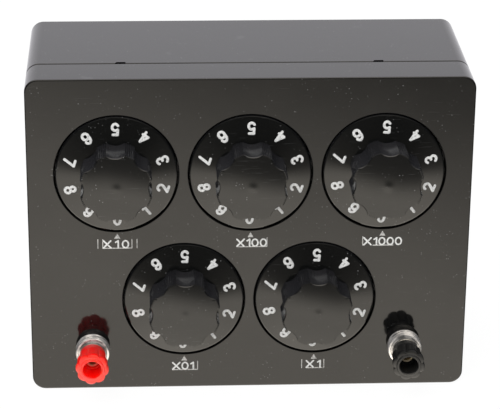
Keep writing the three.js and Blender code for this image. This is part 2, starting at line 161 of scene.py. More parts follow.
# Marks on the panel
pointer_drop = 28.9 * mm
pointer_width = 2.75 * mm
pointer_height = 2.45 * mm
pointer_shifts = {"x10": 0, "x100": 0.3 * mm, "x1000": 0.3 * mm, "x01": 0.1 * mm, "x1": 0.2 * mm}
label_drop = 34.1 * mm
label_height = 4.2 * mm
label_stretch = 1.38
label_stroke = 0.76 * mm
label_thickness = 0.06 * mm
rule_stroke = 0.5 * mm
rule_drop = 36.05 * mm
bar_stroke = 0.4 * mm
bar_height = 4.3 * mm
stamp_thickness = 0.036 * mm

# Each label's text, the place of its middle, the space between its characters, the ends of the
# stamped rule under it, and the places of the worn bars that the stamp left beside it
labels = {
    "x10": (
        "X10", -0.6 * mm, 1.2 * mm,
        (-6.6 * mm, 6.6 * mm), (-8.8 * mm, -6.6 * mm, 6.6 * mm, 8.9 * mm),
    ),
    "x100": ("X100", 0.8 * mm, 0.35 * mm, (-6.0 * mm, 7.8 * mm), (7.8 * mm,)),
    "x1000": ("X1000", 0.5 * mm, 0.35 * mm, (-3.9 * mm, 5.2 * mm), (-8.6 * mm,)),
    "x01": ("X01", -0.45 * mm, 0.35 * mm, (-5.3 * mm, 6.2 * mm), (6.3 * mm,)),
    "x1": ("X1", 0.1 * mm, 1.0 * mm, (-2.7 * mm, 4.2 * mm), (-5.3 * mm, 5.0 * mm)),
}

# Terminals
collar_radius = 7.8 * mm
collar_length = 5.5 * mm
collar_edge = 0.15 * mm
collar_rim = 1.1 * mm
collar_beads = 4
bead_depth = 0.36 * mm
bead_shape = ((0.03, 1), (0.12, 0.55), (0.28, 0.18), (0.5, 0), (0.72, 0.18), (0.88, 0.55))
groove_inset = 1.3 * mm
groove_depth = 0.35 * mm
recess_radius = 4.9 * mm
recess_depth = 1.8 * mm
washer_radius = 5.9 * mm
washer_thickness = 1.1 * mm
washer_edge = 0.1 * mm
fit_gap = 0.3 * mm
cap_reach = 22 * mm
cap_neck = 6 * mm
cap_neck_length = 4.6 * mm
cap_neck_edge = 0.3 * mm
cap_fillet = 0.5 * mm
cap_lobes = 8
cap_crest = 7.5 * mm
cap_valley = 6.6 * mm
cap_head = 3.4 * mm
cap_edge = 0.4 * mm
lobe_fullness = 0.75
cap_mouth = 4.2 * mm
cap_mouth_depth = 9.4 * mm
cap_mouth_edge = 0.3 * mm
cap_ring = 5.5 * mm
cap_ring_step = 0.6 * mm
cap_ring_slant = 0.15 * mm
cap_ring_round = 0.1 * mm
cap_ring_edge = 0.35 * mm
cap_turns = {"red": 7, "black": 12}
stud_radius = 3 * mm
stud_edge = 0.25 * mm
flange_radius = 4.6 * mm
flange_thickness = 1.5 * mm
tail_radius = 2.5 * mm
tail_length = 10.5 * mm
socket_radius = 2 * mm
socket_depth = 12 * mm
countersink_depth = 0.3 * mm
countersink_width = 0.65 * mm

# Sides of round pieces
large_sides = 144
cap_sides = 160
collar_sides = 96
small_sides = 64
head_sides = 48
rod_sides = 32

# Below this, two places are the same, and above it, an edge runs from one plane to another
same_place = 0.01 * mm


# Mesh helpers

def only(obj):
    bpy.ops.object.select_all(action="DESELECT")
    obj.select_set(True)
    bpy.context.view_layer.objects.active = obj


def apply_place(obj):
    only(obj)
    bpy.ops.object.transform_apply(location=True, rotation=True, scale=True)
    return obj


def apply_modifiers(obj):
    only(obj)
    for modifier in list(obj.modifiers):
        bpy.ops.object.modifier_apply(modifier=modifier.name)


def placed_copy(name, mesh):
    """A new object with its own copy of a mesh."""
    obj = bpy.data.objects.new(name, mesh.copy())
    bpy.context.collection.objects.link(obj)
    return obj


def taken_mesh(obj):
    """A copy of an object's mesh, for copies to be made from. The object is then gone."""
    mesh = obj.data.copy()
    bpy.data.objects.remove(obj)
    return mesh


def cut(obj, *cutters, operation="DIFFERENCE"):
    """Joins or cuts one closed solid with others, which are then gone."""
    for cutter in cutters:
        modifier = obj.modifiers.new("cut", "BOOLEAN")
        modifier.operation = operation
        modifier.solver = "MANIFOLD"
        modifier.object = cutter
        apply_modifiers(obj)
        bpy.data.objects.remove(cutter)
    return obj


def join_on(obj, *others):
    return cut(obj, *others, operation="UNION")


def value_at(rule, argument):
    return rule(argument) if callable(rule) else rule


def lofted(name, angles, rings, ring_shaped=False):
    """A solid extruded ring by ring along Z. Each ring has a radius and a height.

    The radius may be a rule of the angle, and the height a rule of the radius.
    """
    bpy.ops.mesh.primitive_circle_add(vertices=len(angles), fill_type="NOTHING")
    obj = bpy.context.object
    obj.name = name
    obj.data.name = name
    for vertex, angle in zip(obj.data.vertices, angles):
        turn = math.radians(angle)
        vertex.co = (math.sin(turn), math.cos(turn), 0)
    bpy.ops.object.mode_set(mode="EDIT")
    bpy.ops.mesh.select_mode(type="VERT")
    bpy.ops.mesh.select_all(action="SELECT")
    for i, (radius_rule, height_rule) in enumerate(rings):
        if i:
            bpy.ops.mesh.extrude_region_move()
        mesh = bmesh.from_edit_mesh(obj.data)
        for vertex in (v for v in mesh.verts if v.select):
            turn = math.atan2(vertex.co.x, vertex.co.y)
            radius = value_at(radius_rule, math.degrees(turn))
            height = value_at(height_rule, radius)
            vertex.co = (radius * math.sin(turn), radius * math.cos(turn), height)
        bmesh.update_edit_mesh(obj.data)
    if ring_shaped:
        bpy.ops.mesh.select_all(action="DESELECT")
        bpy.ops.mesh.select_non_manifold()
        bpy.ops.mesh.bridge_edge_loops()
    else:
        bpy.ops.mesh.select_all(action="SELECT")
        bpy.ops.mesh.fill_holes(sides=0)
    bpy.ops.mesh.select_all(action="SELECT")
    bpy.ops.mesh.normals_make_consistent(inside=False)
    bpy.ops.object.mode_set(mode="OBJECT")
    return obj


def turned(name, rings, sides=small_sides, ring_shaped=False):
    return lofted(name, [360 * i / sides for i in range(sides)], rings, ring_shaped)


def block(name, low, high):
    """A box between two corners."""
    low, high = Vector(low), Vector(high)
    bpy.ops.mesh.primitive_cube_add(size=1, location=(low + high) / 2)
    obj = bpy.context.object
    obj.name = name
    obj.scale = high - low
    return apply_place(obj)


def rod(name, radius, y0, y1, x, z, sides=rod_sides):
    """A round rod along Y."""
    bpy.ops.mesh.primitive_cylinder_add(
        vertices=sides,
        radius=radius,
        depth=y1 - y0,
        location=(x, (y0 + y1) / 2, z),
        rotation=(math.radians(90), 0, 0),
    )
    bpy.context.object.name = name
    return apply_place(bpy.context.object)


def face_front(obj, x, z, turn=0):
    """Turns a piece made along Z to face the panel's side, and puts it at its place."""
    clockwise = Matrix.Rotation(-math.radians(turn), 4, "Z")
    forward = Matrix.Rotation(math.radians(90), 4, "X")
    obj.matrix_world = Matrix.Translation((x, panel_y, z)) @ forward @ clockwise
    return apply_place(obj)


def select_edges(obj, wanted):
    """Selects, in edit mode, the edges for which the rule holds."""
    mesh = bmesh.from_edit_mesh(obj.data)
    for item in (*mesh.faces, *mesh.edges, *mesh.verts):
        item.select = False
    for edge in mesh.edges:
        if wanted(edge):
            edge.select_set(True)
    mesh.select_flush_mode()
    bmesh.update_edit_mesh(obj.data)


def runs_inwards(edge):
    return abs(edge.verts[0].co.y - edge.verts[1].co.y) > same_place


def lies_at(item, y):
    """Whether an edge or a face lies in the plane at Y."""
    return all(abs(v.co.y - y) < same_place for v in item.verts)


def smooth(obj, angle=30, weighted=False):
    only(obj)
    bpy.ops.object.shade_smooth_by_angle(angle=math.radians(angle))
    if weighted:
        modifier = obj.modifiers.new("weighted_normals", "WEIGHTED_NORMAL")
        modifier.keep_sharp = True
        modifier.weight = 100
        apply_modifiers(obj)
    return obj


def finished(obj, name, body, slot, material, *nodes):
    """Names a piece, gives it its body and material, and hides the nodes that it stands for. Its slot
    argument is not used.
    """
    obj.name = name
    obj.data.name = name
    obj.data.materials.clear()
    obj.data.materials.append(material)
    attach(obj, body)
    if nodes:
        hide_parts(*nodes)


# Node helpers

def add_node(tree, kind, inputs=None, **settings):
    """Adds a node, sets its properties, and fills or links its inputs."""
    node = tree.nodes.new(kind)
    for key, value in settings.items():
        setattr(node, key, value)
    for key, value in (inputs or {}).items():
        if isinstance(value, bpy.types.NodeSocket):
            tree.links.new(value, node.inputs[key])
        else:
            node.inputs[key].default_value = value
    return node


def grey(value):
    return (value, value, value, 1)


def coordinate(tree, kind):
    return tree.nodes.new("ShaderNodeTexCoord").outputs[kind]


def maths(tree, operation, first, second=0.0, third=0.0, clamp=False):
    inputs = {0: first, 1: second, 2: third}
    return add_node(tree, "ShaderNodeMath", inputs, operation=operation, use_clamp=clamp).outputs[0]


def ranged(tree, value, low, high, to_low=0.0, to_high=1.0):
    """A value's range stretched onto another one, and clamped to it."""
    inputs = {"Value": value, "From Min": low, "From Max": high, "To Min": to_low, "To Max": to_high}
    return add_node(tree, "ShaderNodeMapRange", inputs).outputs["Result"]


def noise(tree, place, scale, detail, roughness=0.5):
    inputs = {"Vector": place, "Scale": scale, "Detail": detail, "Roughness": roughness}
    return add_node(tree, "ShaderNodeTexNoise", inputs).outputs["Fac"]


def mix_colour(tree, factor, first, second, blend_type="MIX"):
    node = add_node(
        tree, "ShaderNodeMix", {0: factor, 6: first, 7: second},
        data_type="RGBA", blend_type=blend_type,
    )
    return node.outputs[2]


def ramp(tree, factor, stops):
    node = add_node(tree, "ShaderNodeValToRGB", {"Fac": factor})
    elements = node.color_ramp.elements
    while len(elements) < len(stops):
        elements.new(0.5)
    for element, (position, value) in zip(elements, stops):
        element.position = position
        element.color = grey(value)
    return node.outputs["Color"]


def add_bump(tree, shader, height, strength, distance):
    bump = add_node(
        tree, "ShaderNodeBump",
        {"Strength": strength, "Distance": distance, "Height": height},
    )
    tree.links.new(bump.outputs["Normal"], shader.inputs["Normal"])


# Effects that several materials share

# The turn of each set of scratches, and how often they break along their length
scratch_sets = ((18, 55), (-37, 70), (84, 60))


def new_group(name, inputs, outputs):
    """An empty node group with its named sockets, its input node and its output node."""
    group = bpy.data.node_groups.new(name, "ShaderNodeTree")
    for label, kind, default in inputs:
        group.interface.new_socket(label, in_out="INPUT", socket_type=kind).default_value = default
    for label in outputs:
        group.interface.new_socket(label, in_out="OUTPUT", socket_type="NodeSocketFloat")
    return group, group.nodes.new("NodeGroupInput").outputs, group.nodes.new("NodeGroupOutput").inputs


def make_wear_group():
    """Dust specks, fine scratches, smudges and moulding ripple, as masks and one height."""
    group, given, result = new_group(
        "handling_wear",
        [("Dust Amount", "NodeSocketFloat", 0.5), ("Scratch Amount", "NodeSocketFloat", 0.5)],
        ["Dust", "Scratches", "Smudge", "Height"],
    )
    place = coordinate(group, "Object")

    specks = add_node(group, "ShaderNodeTexVoronoi", {"Vector": place, "Scale": 620, "Randomness": 1})
    near = ranged(group, specks.outputs["Distance"], 0.17, 0.05)
    kept = ranged(group, noise(group, place, 190, 2), 0.53, 0.66)
    dust = maths(group, "MULTIPLY", maths(group, "MULTIPLY", near, kept), given["Dust Amount"])

    scratches = None
    for angle, breaks in scratch_sets:
        turned_place = add_node(
            group, "ShaderNodeMapping",
            {"Vector": place, "Rotation": (0, math.radians(angle), 0), "Scale": (breaks, breaks, 4200)},
        )
        lines = noise(group, turned_place.outputs["Vector"], 1.0, 2, 0.6)
        line = maths(group, "GREATER_THAN", lines, 0.735)
        scratches = line if scratches is None else maths(group, "MAXIMUM", scratches, line)
    scratches = maths(group, "MULTIPLY", scratches, given["Scratch Amount"])

    ripple = maths(group, "MULTIPLY", noise(group, place, 60, 1), 0.4)
    grain = maths(group, "MULTIPLY", noise(group, place, 900, 2), 0.015)
    height = maths(group, "ADD", ripple, grain)
    height = maths(group, "SUBTRACT", height, maths(group, "MULTIPLY", scratches, 0.02))
    group.links.new(dust, result["Dust"])
    group.links.new(scratches, result["Scratches"])
    group.links.new(noise(group, place, 34, 5, 0.62), result["Smudge"])
    group.links.new(height, result["Height"])
    return group


def make_side_group():
    """Where a surface faces neither the front nor the back."""
    group, _, result = new_group("side_faces", [], ["Side"])
    normal = add_node(group, "ShaderNodeSeparateXYZ", {"Vector": coordinate(group, "Normal")})
    side = ranged(group, maths(group, "ABSOLUTE", normal.outputs["Y"]), 0.35, 0.1)
    group.links.new(side, result["Side"])
    return group


def make_turning_group():
    """Fine lines round a turned piece, and patches of tarnish."""
    group, given, result = new_group(
        "turning_marks", [("Line Scale", "NodeSocketVector", (60, 2600, 60))], ["Lines", "Tarnish"],
    )
    place = coordinate(group, "Object")
    along = add_node(group, "ShaderNodeMapping", {"Vector": place, "Scale": given["Line Scale"]})
    group.links.new(noise(group, along.outputs["Vector"], 1.0, 3), result["Lines"])
    group.links.new(ranged(group, noise(group, place, 240, 4), 0.45, 0.75), result["Tarnish"])
    return group


def make_cover_group():
    """The uneven cover of filled or stamped paint, as a mask of its thin places and a height."""
    group, _, result = new_group("paint_cover", [], ["Thin", "Height"])
    patches = noise(group, coordinate(group, "Object"), 1500, 3)
    group.links.new(ranged(group, patches, 0.48, 0.68), result["Thin"])
    group.links.new(patches, result["Height"])
    return group


handling_wear = make_wear_group()
side_faces = make_side_group()
turning_marks = make_turning_group()
paint_cover = make_cover_group()


# Materials

def new_material(name):
    material = bpy.data.materials.new(name)
    material.use_nodes = True
    tree = material.node_tree
    tree.nodes.clear()
    output = tree.nodes.new("ShaderNodeOutputMaterial")
    shader = tree.nodes.new("ShaderNodeBsdfPrincipled")
    tree.links.new(shader.outputs["BSDF"], output.inputs["Surface"])
    return material, tree, shader


def plastic(
    name, colour, roughness,
    dust=0.5, scratch=0.5, haze=0.1, bump=0.02, gloss=0.5, glow=0.0, sides=None,
):
    """Moulded plastic that has been handled, and that lets a little light through where it glows.

    Its sides may be more matt than its faces and carry a painted tone of their own, set by which way they
    face: painted light where it is lighter than the faces, painted shade where it is darker.
    """
    material, tree, shader = new_material(name)
    shader.inputs["Specular IOR Level"].default_value = gloss
    if glow:
        shader.inputs["Subsurface Weight"].default_value = glow
        shader.inputs["Subsurface Radius"].default_value = (1, 0.06, 0.03)
        shader.inputs["Subsurface Scale"].default_value = 9 * mm
    wear = add_node(
        tree, "ShaderNodeGroup", {"Dust Amount": dust, "Scratch Amount": scratch},
        node_tree=handling_wear,
    ).outputs
    base = mix_colour(tree, wear["Dust"], (*colour, 1), grey(0.45))
    lighter = tuple(min(1, c + 0.06) for c in colour)
    base = mix_colour(tree, wear["Scratches"], base, (*lighter, 1))
    rough = ranged(tree, wear["Smudge"], 0.35, 0.7, roughness, roughness + haze)
    rough = maths(tree, "ADD", rough, maths(tree, "MULTIPLY", wear["Scratches"], 0.15), clamp=True)
    if sides:
        matt, painted_side_tone = sides
        side = add_node(tree, "ShaderNodeGroup", node_tree=side_faces).outputs["Side"]
        rough = maths(tree, "ADD", rough, maths(tree, "MULTIPLY", side, matt))
        # Painted light and shade: side faces take a set tone by which way they face, lighter on the dials and
        # a deeper red on the red cap
        base = mix_colour(tree, side, base, (*painted_side_tone, 1))
    tree.links.new(base, shader.inputs["Base Color"])
    tree.links.new(rough, shader.inputs["Roughness"])
    add_bump(tree, shader, wear["Height"], bump, 1 * mm)
    return material


def turned_metal(
    name, colour, roughness,
    line_scale=(60, 2600, 60), line_depth=0.25, metallic=1.0, painted_groove_shade=0.0,
):
    """Metal with fine turning lines round its own axis, a little tarnish and perhaps dark lines of painted
    shade along the turning lines.
    """
    material, tree, shader = new_material(name)
    shader.inputs["Metallic"].default_value = metallic
    marks = add_node(tree, "ShaderNodeGroup", {"Line Scale": line_scale}, node_tree=turning_marks).outputs
    darker = tuple(c * 0.72 for c in colour)
    base = mix_colour(tree, marks["Tarnish"], (*colour, 1), (*darker, 1))
    if painted_groove_shade:
        # Painted shade: dark lines along the turning marks stand in for the shade in the fine turning grooves
        base = mix_colour(tree, ranged(tree, marks["Lines"], 0.48, 0.6, 0.0, painted_groove_shade), base, grey(0.1))
    tree.links.new(base, shader.inputs["Base Color"])
    rough = ranged(tree, marks["Lines"], 0.0, 1.0, roughness * 0.6, roughness * 1.5)
    tree.links.new(rough, shader.inputs["Roughness"])
    add_bump(tree, shader, marks["Lines"], line_depth, 0.05 * mm)
    return material


def paint(name, colour, cover):
    """Filled or stamped white paint, which is thinner in places."""
    material, tree, shader = new_material(name)
    shader.inputs["Roughness"].default_value = 0.5
    patches = add_node(tree, "ShaderNodeGroup", node_tree=paint_cover).outputs
    dull = tuple(c * cover for c in colour)
    shade = mix_colour(tree, patches["Thin"], (*colour, 1), (*dull, 1))
    tree.links.new(shade, shader.inputs["Base Color"])
    add_bump(tree, shader, patches["Height"], 0.2, 0.05 * mm)
    return material


# Numerals, drawn as strokes in a cell that is 1 high

def bow(x, y, width, height, start, end, steps=12):
    """Points of an elliptical arc from one angle to another."""
    points = []
    for i in range(steps + 1):
        turn = math.radians(start + (end - start) * i / steps)
        points.append((x + width * math.cos(turn), y + height * math.sin(turn)))
    return points


def loop(x, y, width, height):
    return bow(x, y, width, height, 0, 345, 23)


half = 0.28
glyph_strokes = {
    "0": [(loop(half, 0.5, half, 0.5), True)],
    "1": [([(0.3, 0), (0.3, 1)], False), ([(0.3, 1), (0.06, 0.78)], False)],
    "2": [
        (bow(half, 0.71, half, 0.29, 165, -40) + [(0.02, 0)], False),
        ([(0.02, 0), (2 * half, 0)], False),
    ],
    "3": [
        (bow(0.26, 0.75, 0.25, 0.25, 150, -90), False),
        (bow(0.26, 0.26, 0.29, 0.26, 90, -150), False),
    ],
    "4": [
        ([(0.42, 0), (0.42, 1)], False),
        ([(0.42, 1), (0, 0.3)], False),
        ([(0, 0.3), (0.56, 0.3)], False),
    ],
    "5": [
        ([(0.5, 1), (0.09, 1)], False),
        ([(0.09, 1), (0.05, 0.54)], False),
        (bow(half, 0.31, half, 0.31, 130, -150), False),
    ],
    "6": [
        (loop(half, 0.3, half, 0.3), True),
        (bow(half, 0.6, half, 0.4, 195, 28), False),
    ],
    "7": [([(0.02, 1), (0.54, 1)], False), ([(0.54, 1), (0.2, 0)], False)],
    "8": [(loop(half, 0.76, 0.235, 0.24), True), (loop(half, 0.26, half, 0.26), True)],
    "X": [([(0, 0), (0.68, 1)], False), ([(0, 1), (0.68, 0)], False)],
}
glyph_strokes["9"] = [
    ([(2 * half - x, 1 - y) for x, y in points], closed) for points, closed in glyph_strokes["6"]
]
end_steps = 4
end_turn = 88


def stroke_solid(points, closed, height, stroke, thickness):
    """One stroke with round ends, as a flattened tube."""
    line = [Vector((x, y)) * (height - stroke) for x, y in points]
    radii = [1.0] * len(line)
    if not closed:
        for end, beside in ((0, 1), (-1, -2)):
            outward = (line[end] - line[beside]).normalized() * stroke / 2
            cap = []
            for i in range(1, end_steps + 1):
                turn = math.radians(end_turn) * i / end_steps
                cap.append((line[end] + outward * math.sin(turn), math.cos(turn)))
            if end == 0:
                line = [p for p, _ in reversed(cap)] + line
                radii = [r for _, r in reversed(cap)] + radii
            else:
                line = line + [p for p, _ in cap]
                radii = radii + [r for _, r in cap]
    curve = bpy.data.curves.new("stroke", "CURVE")
    curve.dimensions = "3D"
    curve.twist_mode = "Z_UP"
    curve.bevel_depth = stroke / 2
    curve.bevel_resolution = 2
    curve.use_fill_caps = True
    spline = curve.splines.new("POLY")
    spline.points.add(len(line) - 1)
    spline.use_cyclic_u = closed
    for point, place, radius in zip(spline.points, line, radii):
        point.co = (place.x, place.y, 0, 1)
        point.radius = radius
    obj = bpy.data.objects.new("stroke", curve)
    bpy.context.collection.objects.link(obj)
    only(obj)
    bpy.ops.object.convert(target="MESH")
    obj = bpy.context.object
    obj.scale = (1, 1, thickness / stroke)
    apply_place(obj)
    bpy.ops.object.mode_set(mode="EDIT")
    bpy.ops.mesh.select_all(action="SELECT")
    bpy.ops.mesh.remove_doubles(threshold=0.001 * mm)
    bpy.ops.mesh.normals_make_consistent(inside=False)
    bpy.ops.object.mode_set(mode="OBJECT")
    return obj


glyph_meshes = {}


def glyph_mesh(character, height, stroke, thickness, stretch=1):
    """A character's mesh, made once for each size, with its lower left corner at the origin."""
    key = (character, height)
    if key not in glyph_meshes:
        solids = [
            stroke_solid([(x * stretch, y) for x, y in points], closed, height, stroke, thickness)
            for points, closed in glyph_strokes[character]
        ]
        whole = join_on(solids[0], *solids[1:])
        only(whole)
        bpy.ops.object.shade_smooth()
        glyph_meshes[key] = taken_mesh(whole)
    return glyph_meshes[key]


def glyph_width(character, height, stroke):
    points = [p for line, _ in glyph_strokes[character] for p in line]
    return max(x for x, _ in points) * (height - stroke)


def joined_copies(name, placed):
    """One object from copies of meshes, each with its own place."""
    objects = []
    for mesh, place in placed:
        objects.append(placed_copy(name, mesh))
        objects[-1].data.transform(place)
    only(objects[0])
    for obj in objects:
        obj.select_set(True)
    bpy.ops.object.join()
    return bpy.context.object


# Case

def shell(name, closed_y, open_y, edge, edge_segments, open_edge):
    """A case half: rounded corners, a rounded closed face, and a wall round its hollow."""
    low = (-case_width / 2, min(closed_y, open_y), 0)
    high = (case_width / 2, max(closed_y, open_y), case_height)
    obj = block(name, low, high)
    bpy.ops.object.mode_set(mode="EDIT")
    bpy.ops.mesh.select_mode(type="EDGE")
    select_edges(obj, runs_inwards)
    bpy.ops.mesh.bevel(offset=case_corner, segments=10, affect="EDGES")
    select_edges(obj, lambda e: lies_at(e, closed_y))
    bpy.ops.mesh.bevel(offset=edge, segments=edge_segments, affect="EDGES")
    select_edges(obj, lambda e: lies_at(e, open_y))
    bpy.ops.mesh.bevel(offset=open_edge, segments=3, affect="EDGES")
    bpy.ops.mesh.select_mode(type="FACE")
    mesh = bmesh.from_edit_mesh(obj.data)
    for face in mesh.faces:
        face.select_set(lies_at(face, open_y))
    bmesh.update_edit_mesh(obj.data)
    bpy.ops.mesh.inset(thickness=wall - open_edge, depth=0)
    inward = (closed_y - open_y) - math.copysign(wall, closed_y - open_y)
    bpy.ops.mesh.extrude_region_move(TRANSFORM_OT_translate={"value": (0, inward, 0)})
    bpy.ops.object.mode_set(mode="OBJECT")
    return obj


def corner_places():
    left, right = cover_low.x + pillar_inset, cover_high.x - pillar_inset
    low, high = cover_low.z + pillar_inset, cover_high.z - pillar_inset
    return [(left, low), (right, low), (left, high), (right, high)]


def make_front_cover(material):
    obj = shell("front_shell", panel_y, cover_high.y, panel_edge, 4, seam_edge)
    for x, z in corner_places():
        join_on(obj, rod("boss", pillar_radius, panel_y + wall / 2, panel_y + wall + boss_reach, x, z))
        cut(obj, rod("thread", screw_hole, panel_y + wall, cover_high.y, x, z))
    opening_radius = dial_radius + dial_gap
    opening_rings = [
        (opening_radius, -2 * wall),
        (opening_radius, -hole_chamfer),
        (opening_radius + hole_chamfer, 0),
        (opening_radius + hole_chamfer, wall),
    ]
    for name in decades:
        opening = turned("opening", opening_rings, large_sides)
        cut(obj, face_front(opening, *middle("dial_" + name)))
    for name in terminals:
        x, z = middle("terminal_stud_" + name)
        cut(obj, rod("stud_hole", stud_hole, panel_y - wall, panel_y + 2 * wall, x, z))
    smooth(obj, 35, weighted=True)
    finished(obj, "front_shell", "case", "case_plastic", material, "front_cover")


def lip_ring(y0, y1, outer_inset, inner_inset):
    """A rounded rectangular ring inside the wall."""
    bodies = []
    for inset, overrun in ((outer_inset, 0), (inner_inset, wall)):
        low = (cover_low.x + inset, y0 - overrun, cover_low.z + inset)
        high = (cover_high.x - inset, y1 + overrun, cover_high.z - inset)
        body = block("lip", low, high)
        bpy.ops.object.mode_set(mode="EDIT")
        bpy.ops.mesh.select_mode(type="EDGE")
        select_edges(body, runs_inwards)
        bpy.ops.mesh.bevel(offset=case_corner - inset, segments=8, affect="EDGES")
        bpy.ops.object.mode_set(mode="OBJECT")
        bodies.append(body)
    return cut(*bodies)


def notch_cutter(x, middle_z):
    """The cutter of a pry notch, with one slanted side."""
    front = cover_high.y + seam_gap
    low = (x - notch_width / 2, front - seam_gap, middle_z - notch_depth)
    high = (x + notch_width / 2, front + notch_reach, middle_z + notch_depth)
    obj = block("notch", low, high)
    for vertex in obj.data.vertices:
        if vertex.co.x < x and vertex.co.y > front:
            vertex.co.x += notch_slant
    return obj


def make_rear_case(material):
    front = cover_high.y + seam_gap
    obj = shell("rear_shell", case_high.y, front, back_edge, 5, rear_seam_edge)
    outer = wall + lip_gap
    inner = outer + lip_thickness
    join_on(obj, lip_ring(front - lip_reach, front + lip_reach, outer, inner))
    join_on(obj, lip_ring(front + lip_foot, front + lip_reach - lip_gap, wall / 2, (outer + inner) / 2))
    for x, z in corner_places():
        join_on(obj, rod("pillar", pillar_radius, case_low.y, case_high.y - wall / 2, x, z))
        cut(
            obj,
            rod("screw_hole", screw_hole, case_low.y - wall, case_high.y + wall, x, z),
            rod("head_hole", head_hole, case_high.y - head_recess, case_high.y + wall, x, z, head_sides),
        )
    for side in (0, case_height):
        for x in (-notch_offset, notch_offset):
            cut(obj, notch_cutter(x, side))
    smooth(obj, 35, weighted=True)
    finished(obj, "rear_shell", "case", "case_plastic", material, "rear_case")


def make_screws(material):
    """Slotted pan-head screws, whose shanks run through the case."""
    for i, (x, z) in enumerate(corner_places()):
        node = f"case_screw_{i + 1}"
        low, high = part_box(node)
        length = high.y - low.y
        rings = [(shank_radius, 0), (shank_radius, length - head_height), (head_radius, length - head_height)]
        rings += [(head_radius * share, length - depth) for share, depth in head_dome]
        screw = turned(node, rings, head_sides)
        screw.matrix_world = Matrix.Translation((x, low.y, z)) @ Matrix.Rotation(math.radians(-90), 4, "X")
        apply_place(screw)
        slot = block(
            "slot",
            (-2 * head_radius, -slot_depth, -slot_width / 2),
            (2 * head_radius, slot_depth, slot_width / 2),
        )
        turn = math.radians(first_slot_turn + slot_turn_step * i)
        slot.matrix_world = Matrix.Translation((x, high.y, z)) @ Matrix.Rotation(turn, 4, "Y")
        cut(screw, apply_place(slot))
        smooth(screw)
        finished(screw, f"back_screw_{i + 1}", "case", "steel", material, node)


# Dials

def land_angles():
    """The angles of the grip's outline, closer together on the ribbed lands."""
    step = 360 / scallop_count
    land = step - 2 * scallop_half_angle
    land_points = rib_count * rib_points
    angles = []
    for i in range(scallop_count):
        start = i * step - scallop_half_angle
        for j in range(scallop_points):
            angles.append(start + 2 * scallop_half_angle * j / scallop_points)
        for j in range(land_points):
            angles.append(start + 2 * scallop_half_angle + land * j / land_points)
    return angles


def scallop_circle():
    """The radius of a scallop's arc and how far its centre is from the dial's axis."""
    half_angle = math.radians(scallop_half_angle)
    chord = grip_radius * math.sin(half_angle)
    sagitta = scallop_depth - grip_radius * (1 - math.cos(half_angle))
    radius = (chord ** 2 + sagitta ** 2) / (2 * sagitta)
    return radius, grip_radius - scallop_depth + radius


def grip_outline(angle):
    """The grip's radius at an angle: a scallop or a ribbed land."""
    step = 360 / scallop_count
    off = (angle + step / 2) % step - step / 2
    if abs(off) < scallop_half_angle:
        radius, centre = scallop_circle()
        turn = math.radians(off)
        return centre * math.cos(turn) - math.sqrt(radius ** 2 - (centre * math.sin(turn)) ** 2)
    land = step - 2 * scallop_half_angle
    along = (abs(off) - scallop_half_angle) / (land / 2)
    groove = abs(math.sin(math.pi / 2 * rib_count * along)) ** rib_sharpness
    return grip_radius - rib_depth * groove


def scaled(outline, share):
    return lambda angle: outline(angle) * share


def crown(radius):
    """The height of the grip's domed face at a radius."""
    dome = grip_reach - grip_crown * (radius / grip_radius) ** 2
    if radius > gate_mark_radius:
        return dome
    return dome + gate_mark_height * (0.5 + 0.5 * math.cos(math.pi * radius / gate_mark_radius))


def make_dial_mesh():
    """One dial along Z: skirt, scalloped grip, hollow back and shaft bore."""
    slope = math.tan(math.radians(skirt_slope))
    skirt = turned(
        "skirt",
        [
            (dial_radius, -skirt_back),
            (dial_radius, -skirt_edge),
            (dial_radius - skirt_edge * 0.3, -skirt_edge * 0.3),
            (dial_radius - skirt_edge, slope * skirt_edge),
            (dial_radius - 2 * skirt_edge, slope * 2 * skirt_edge),
            (grip_radius * 0.5, slope * (dial_radius - grip_radius * 0.5)),
        ],
        large_sides,
    )
    drop = grip_edge / grip_radius
    rim = grip_reach - grip_crown
    rings = [(grip_outline, 0)]
    for inward, down in edge_round_shares:
        rings.append((scaled(grip_outline, 1 - inward * drop), rim - down * grip_edge))
    for share in (1 - drop, *crown_shares):
        rings.append((scaled(grip_outline, share), crown))
    dial = join_on(skirt, lofted("grip", land_angles(), rings))
    under = dial_radius - skirt_thickness
    hollow = turned(
        "hollow",
        [
            (hub_radius, dial_cavity_depth),
            (dial_cavity, dial_cavity_depth),
            (dial_cavity, slope * (dial_radius - dial_cavity) - skirt_thickness),
            (under, slope * (dial_radius - under) - skirt_thickness),
            (under, -2 * skirt_back),
            (hub_radius, -2 * skirt_back),
        ],
        ring_shaped=True,
    )
    bore = turned("bore", [(hub_bore, -2 * skirt_back), (hub_bore, dial_cavity_depth)], rod_sides)
    cut(dial, hollow, bore)
    return taken_mesh(smooth(dial, 32))


def make_numerals(name):
    """The ring of numerals on a skirt, with their feet outwards."""
    slope = math.radians(skirt_slope)
    level = math.tan(slope) * (dial_radius - numeral_radius)
    placed = []
    for i in range(numeral_count):
        character = str((numeral_at_top - i) % numeral_count)
        mesh = glyph_mesh(character, numeral_height, numeral_stroke, numeral_thickness)
        width = glyph_width(character, numeral_height, numeral_stroke)
        centred = Matrix.Translation((-width / 2, -(numeral_height - numeral_stroke) / 2, 0))
        angle = math.radians(360 / numeral_count * i)
        outward = (numeral_radius * math.sin(angle), numeral_radius * math.cos(angle), level)
        upright = Matrix.Rotation(math.pi - angle, 4, "Z")
        tilt = Matrix.Rotation(slope, 4, "X")
        placed.append((mesh, Matrix.Translation(outward) @ upright @ tilt @ centred))
    return joined_copies("numerals_" + name, placed)


def make_dials(moulding, white_filling):
    mesh = make_dial_mesh()
    for name in decades:
        body = "dial_" + name
        x, z = middle(body)
        dial = face_front(placed_copy(body, mesh), x, z, dial_turns[name])
        finished(dial, "knob_" + name, body, "dial_plastic", moulding, body)
        numerals = face_front(make_numerals(name), x, z, dial_turns[name])
        finished(numerals, "numerals_" + name, body, "print_white", white_filling)


# Marks on the panel

